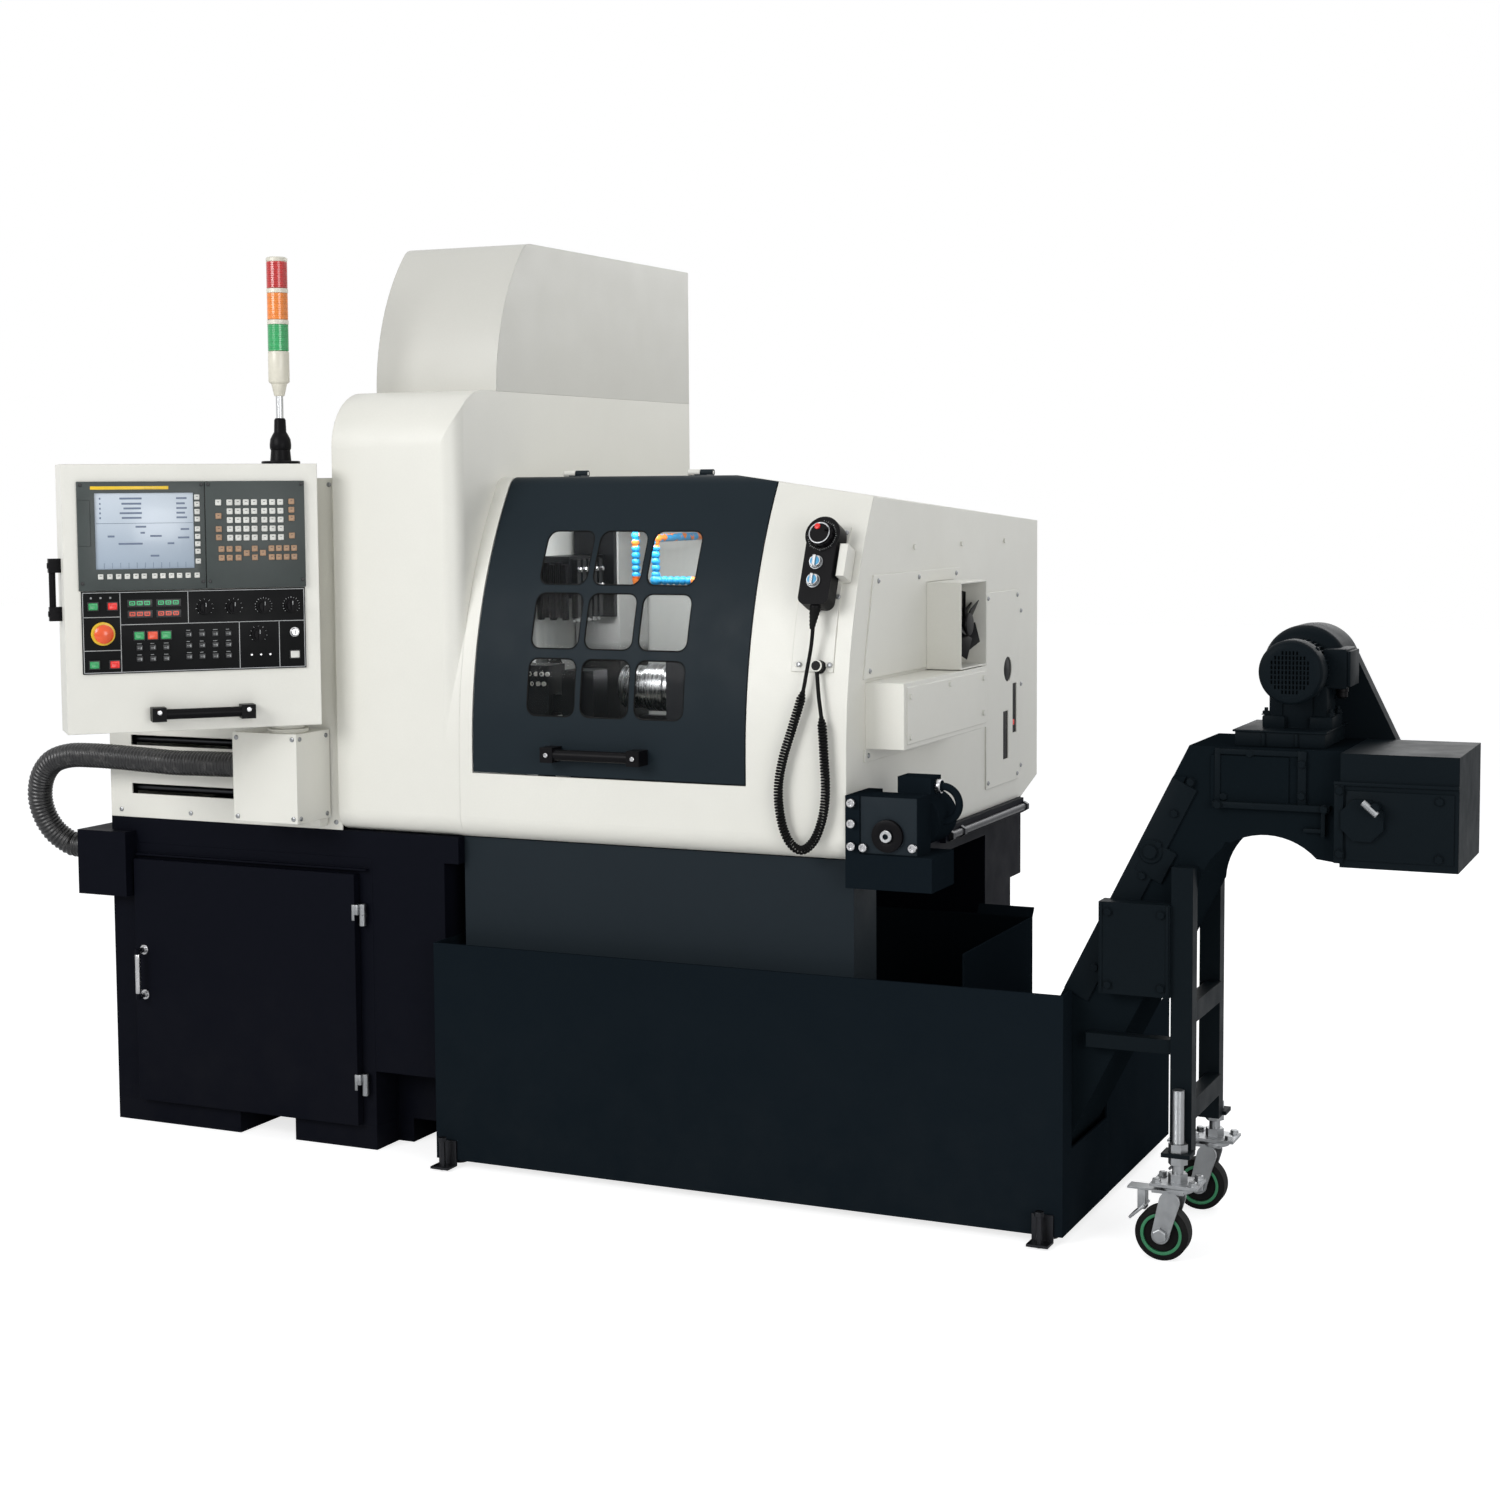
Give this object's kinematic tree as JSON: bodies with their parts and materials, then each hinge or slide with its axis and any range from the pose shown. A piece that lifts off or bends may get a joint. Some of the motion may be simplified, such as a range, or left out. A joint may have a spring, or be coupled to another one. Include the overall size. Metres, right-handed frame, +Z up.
{
  "type": "cnc turning lathe",
  "caption": "Sliding-head turning lathe with a curved lift-up windowed door, swivelling control pendant, electrical cabinet, coolant tank and inclined chip conveyor on casters.",
  "frame": {"origin": "on the floor, under the middle of the machine's bounding box without the cords", "axes": "+X along the spindles towards the chip conveyor, +Y from the operator's side to the back, +Z up"},
  "size_m": [3.2688, 1.7284, 2.039],
  "materials": {
    "bed_navy": "satin",
    "gear_grey": "matt",
    "zinc": "satin",
    "cover_white": "satin",
    "rail_black": "satin",
    "liner_grey": "satin",
    "cast_grey": "machined",
    "steel": "bright",
    "tool_black": "black oxide",
    "hose_blue": "satin",
    "black_plastic": "satin",
    "conveyor_black": "satin",
    "apron_blue": "satin",
    "tank_dark": "satin",
    "panel_grey": "satin",
    "panel_black": "satin",
    "tower_plastic": "gloss",
    "stop_red": "gloss",
    "door_dark": "satin",
    "window_clear": "clear",
    "wheel_dark": "satin",
    "hose_black": "satin"
  },
  "bodies": {
    "base": {"machine_bed": "bed_navy", "cabinet_shell": "bed_navy", "cabinet_gear": "gear_grey", "cable_box": "bed_navy", "levelling_feet": "zinc", "left_cover": "cover_white", "carriage_rail": "rail_black", "column_cover": "cover_white", "upper_cover": "cover_white", "enclosure": "cover_white", "chamber_liner": "liner_grey", "spindle_bed": "cast_grey", "guide_bush": "steel", "tool_blocks": "tool_black", "coolant_hoses": "hose_blue", "handwheel_plate": "cover_white", "handwheel_body": "black_plastic", "side_covers": "cover_white", "fan_duct": "cover_white", "feeder_drive": "conveyor_black", "apron": "apron_blue", "tank": "tank_dark", "conveyor_trough": "conveyor_black", "conveyor_belt": "zinc", "conveyor_head": "conveyor_black", "conveyor_frame": "conveyor_black", "conveyor_motor": "conveyor_black", "chain_guard": "conveyor_black", "caster_stems": "zinc", "cable_hose": "hose_black", "handwheel_cord": "hose_black"},
    "carriage": {"carriage": "cover_white"},
    "pendant": {"pendant_box": "cover_white", "display_unit": "panel_grey", "operator_panel": "panel_black", "pendant_handles": "black_plastic", "signal_tower": "tower_plastic"},
    "stop_button": {"stop_button": "stop_red"},
    "knob_1": {"knob_1": "black_plastic"},
    "knob_2": {"knob_2": "black_plastic"},
    "knob_3": {"knob_3": "black_plastic"},
    "knob_4": {"knob_4": "black_plastic"},
    "knob_5": {"knob_5": "black_plastic"},
    "door": {"door_panel": "door_dark", "door_windows": "window_clear", "door_handle": "black_plastic"},
    "cabinet_door": {"cabinet_door": "bed_navy"},
    "handwheel_dial": {"handwheel_dial": "black_plastic"},
    "selector_1": {"selector_1": "steel"},
    "selector_2": {"selector_2": "steel"},
    "headstock": {"headstock": "cast_grey"},
    "main_spindle": {"main_spindle": "steel"},
    "sub_headstock": {"sub_headstock": "tool_black"},
    "sub_spindle": {"sub_spindle": "steel"},
    "gang_slide": {"gang_slide": "tool_black"},
    "fan_rotor": {"fan_rotor": "black_plastic"},
    "caster_1": {"caster_fork_1": "zinc"},
    "caster_2": {"caster_fork_2": "zinc"},
    "caster_wheel_1": {"caster_wheel_1": "wheel_dark"},
    "caster_wheel_2": {"caster_wheel_2": "wheel_dark"}
  },
  "joints": [
    {"name": "pendant_slide", "type": "slide", "parent": "base", "child": "carriage", "axis": [1, 0, 0], "range_m": [-0.3, 0], "deforming": ["cable_hose"]},
    {"name": "pendant_swivel", "type": "hinge", "parent": "carriage", "child": "pendant", "pos_m": [-0.94199, -0.46184, 0.955], "axis": [0, 0, 1], "range_deg": [-46, 30]},
    {"name": "stop_push", "type": "slide", "parent": "pendant", "child": "stop_button", "axis": [-0.7193, 0.6947, 0], "range_m": [0, 0.006], "stiffness_N_per_m": 900},
    {"name": "knob_1_turn", "type": "hinge", "parent": "pendant", "child": "knob_1", "pos_m": [-1.01191, -0.65761, 1.234], "axis": [0.7193, -0.6947, 0], "range_deg": [-150, 150]},
    {"name": "knob_2_turn", "type": "hinge", "parent": "pendant", "child": "knob_2", "pos_m": [-0.96884, -0.61301, 1.234], "axis": [0.7193, -0.6947, 0], "range_deg": [-150, 150]},
    {"name": "knob_3_turn", "type": "hinge", "parent": "pendant", "child": "knob_3", "pos_m": [-0.92438, -0.56698, 1.234], "axis": [0.7193, -0.6947, 0], "range_deg": [-150, 150]},
    {"name": "knob_4_turn", "type": "hinge", "parent": "pendant", "child": "knob_4", "pos_m": [-0.8827, -0.52382, 1.234], "axis": [0.7193, -0.6947, 0], "range_deg": [-150, 150]},
    {"name": "knob_5_turn", "type": "hinge", "parent": "pendant", "child": "knob_5", "pos_m": [-0.93272, -0.57561, 1.173], "axis": [0.7193, -0.6947, 0], "range_deg": [-150, 150]},
    {"name": "door_lift", "type": "hinge", "parent": "base", "child": "door", "pos_m": [-0.17799, -0.11981, 1.517], "axis": [-1, 0, 0], "range_deg": [0, 80]},
    {"name": "cabinet_door_swing", "type": "hinge", "parent": "base", "child": "cabinet_door", "pos_m": [-0.79699, -0.39884, 0.34], "axis": [0, 0, 1], "range_deg": [0, 110]},
    {"name": "handwheel_turn", "type": "hinge", "parent": "base", "child": "handwheel_dial", "pos_m": [0.30101, -0.3506, 1.38428], "axis": [0, -0.9234, 0.3839], "continuous": true},
    {"name": "selector_1_turn", "type": "hinge", "parent": "base", "child": "selector_1", "pos_m": [0.29701, -0.37287, 1.33073], "axis": [0, -0.9234, 0.3839], "range_deg": [-60, 60]},
    {"name": "selector_2_turn", "type": "hinge", "parent": "base", "child": "selector_2", "pos_m": [0.29701, -0.38822, 1.29379], "axis": [0, -0.9234, 0.3839], "range_deg": [-60, 60]},
    {"name": "headstock_slide", "type": "slide", "parent": "base", "child": "headstock", "axis": [1, 0, 0], "range_m": [0, 0.2]},
    {"name": "main_spindle_turn", "type": "hinge", "parent": "headstock", "child": "main_spindle", "pos_m": [-0.98199, -0.03684, 1.035], "axis": [1, 0, 0], "continuous": true},
    {"name": "sub_headstock_slide", "type": "slide", "parent": "base", "child": "sub_headstock", "axis": [1, 0, 0], "range_m": [-0.08, 0.05]},
    {"name": "sub_spindle_turn", "type": "hinge", "parent": "sub_headstock", "child": "sub_spindle", "pos_m": [-0.04199, -0.03684, 1.035], "axis": [1, 0, 0], "continuous": true},
    {"name": "gang_slide_travel", "type": "slide", "parent": "base", "child": "gang_slide", "axis": [0, 0, 1], "range_m": [-0.08, 0.03]},
    {"name": "fan_turn", "type": "hinge", "parent": "base", "child": "fan_rotor", "pos_m": [0.41701, 0.14616, 1.179], "axis": [1, 0, 0], "continuous": true},
    {"name": "caster_1_swivel", "type": "hinge", "parent": "base", "child": "caster_1", "pos_m": [1.06399, -0.42584, 0.14], "axis": [0, 0, 1], "continuous": true},
    {"name": "caster_1_roll", "type": "hinge", "parent": "caster_1", "child": "caster_wheel_1", "pos_m": [1.03699, -0.42584, 0.052], "axis": [0, 1, 0], "continuous": true},
    {"name": "caster_2_swivel", "type": "hinge", "parent": "base", "child": "caster_2", "pos_m": [1.05199, -0.07784, 0.14], "axis": [0, 0, 1], "continuous": true},
    {"name": "caster_2_roll", "type": "hinge", "parent": "caster_2", "child": "caster_wheel_2", "pos_m": [1.02499, -0.07784, 0.052], "axis": [0, 1, 0], "continuous": true}
  ]
}
